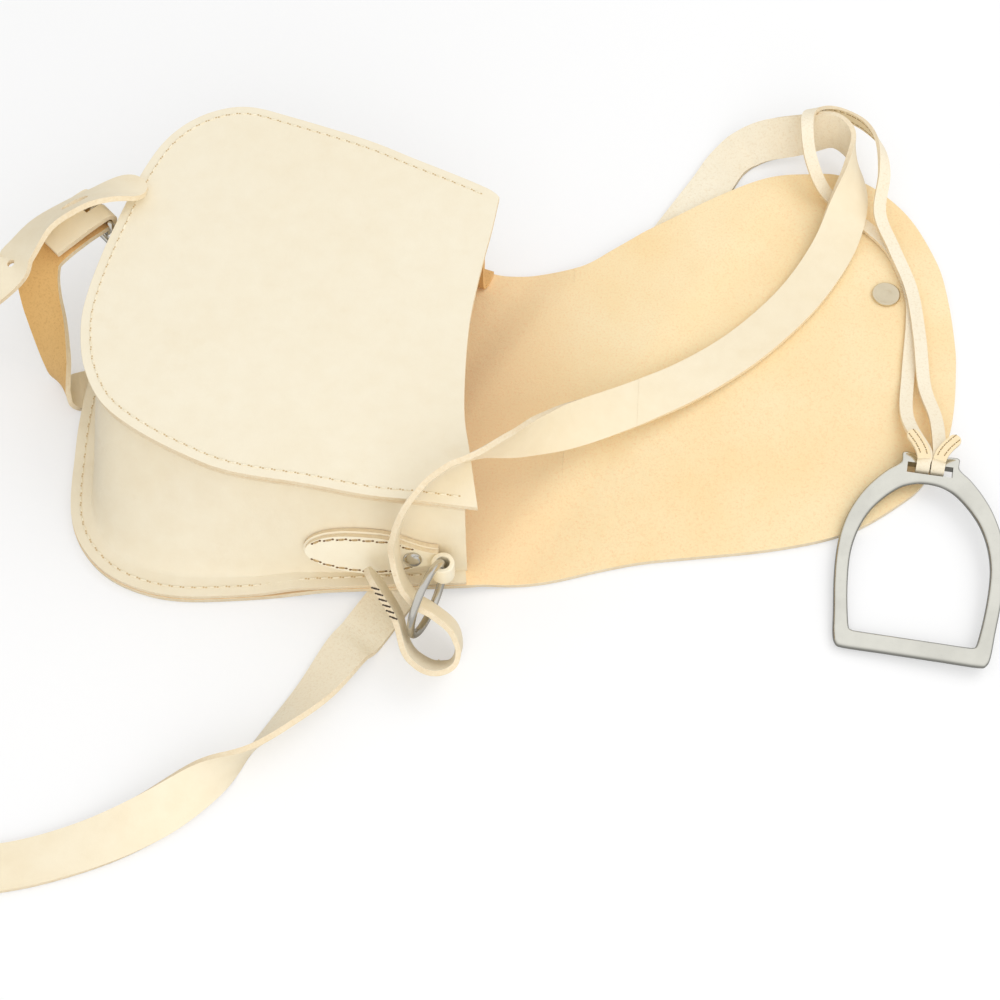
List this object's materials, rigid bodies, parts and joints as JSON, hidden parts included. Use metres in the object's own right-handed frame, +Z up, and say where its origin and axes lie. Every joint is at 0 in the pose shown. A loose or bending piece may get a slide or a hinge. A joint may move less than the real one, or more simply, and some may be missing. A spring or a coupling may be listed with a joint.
{
  "type": "leather shoulder bag",
  "caption": "Saddle-style leather shoulder bag lying open on its back, with a folding flap, ring-mounted shoulder strap, buckle strap and a hanging stirrup charm.",
  "frame": {"origin": "on the flat underside of the back panel, near the middle of the bag's body, which rests on z = 0", "axes": "+X from the bag's bottom to its mouth and on along the open flap; +Y across the bag; +Z up, out of the front panel"},
  "size_m": [0.574, 0.445, 0.0835],
  "materials": {
    "grain_leather": "smooth undyed grain side",
    "flesh_leather": "napped flesh side",
    "strap_leather": "smooth undyed grain side",
    "metal": "polished nickel plating",
    "stirrup_metal": "polished nickel plating"
  },
  "bodies": {
    "bag": {"back_panel": "grain_leather", "front_panel": "grain_leather", "gusset": "grain_leather", "near_tab": "grain_leather", "far_tab": "grain_leather", "near_rivet": "metal", "near_rivet_back": "metal", "far_rivet": "metal", "far_rivet_back": "metal", "front_magnet": "metal", "magnet_patch": "flesh_leather", "strap_over_corner": "strap_leather", "shoulder_strap": "strap_leather", "buckle_strap": "strap_leather"},
    "bridge": {"flap_bridge": "flesh_leather", "strap_under_bridge": "strap_leather"},
    "flap": {"flap": "flesh_leather", "flap_magnet": "metal", "flap_magnet_cap": "metal", "strap_over_flap": "strap_leather", "stirrup_leather": "strap_leather"},
    "stirrup": {"stirrup": "stirrup_metal"},
    "near_ring": {"near_ring": "metal", "strap_ring_end": "strap_leather"},
    "far_ring": {"far_ring": "metal", "buckle_strap_end": "strap_leather"},
    "buckle": {"buckle_frame": "metal"},
    "tongue": {"buckle_tongue": "metal"}
  },
  "joints": [
    {"name": "flap_fold", "type": "hinge", "parent": "bag", "child": "bridge", "pos_m": [0.0985, 0, 0.0027], "axis": [0, -1, 0], "range_deg": [0, 90], "deforming": ["strap_over_corner", "strap_under_bridge"]},
    {"name": "flap_turn", "type": "hinge", "parent": "bridge", "child": "flap", "pos_m": [0.1658, 0, 0.0027], "axis": [0, -1, 0], "range_deg": [0, 90], "deforming": ["strap_over_flap", "stirrup_leather"]},
    {"name": "stirrup_swing", "type": "hinge", "parent": "flap", "child": "stirrup", "pos_m": [0.3038, -0.02323, 0.00921], "axis": [0.9909, -0.1242, 0.0523], "range_deg": [-75, 0]},
    {"name": "near_ring_swing", "type": "hinge", "parent": "bag", "child": "near_ring", "pos_m": [0.082, -0.10302, 0.0232], "axis": [0, 0, 1], "range_deg": [-5, 40], "deforming": ["strap_ring_end"]},
    {"name": "far_ring_swing", "type": "hinge", "parent": "bag", "child": "far_ring", "pos_m": [0.082, 0.08043, 0.0232], "axis": [0, 0, 1], "range_deg": [-30, 0], "deforming": ["buckle_strap_end"]},
    {"name": "buckle_swing", "type": "hinge", "parent": "bag", "child": "buckle", "pos_m": [-0.097, 0.061, 0.055], "axis": [-0.7193, 0.6947, 0], "range_deg": [0, 40]},
    {"name": "tongue_swing", "type": "hinge", "parent": "bag", "child": "tongue", "pos_m": [-0.097, 0.061, 0.055], "axis": [-0.7193, 0.6947, 0], "range_deg": [-15, 0]}
  ],
  "couplings": [
    {"joint": "flap_turn", "follows": "flap_fold", "ratio": 1}
  ]
}
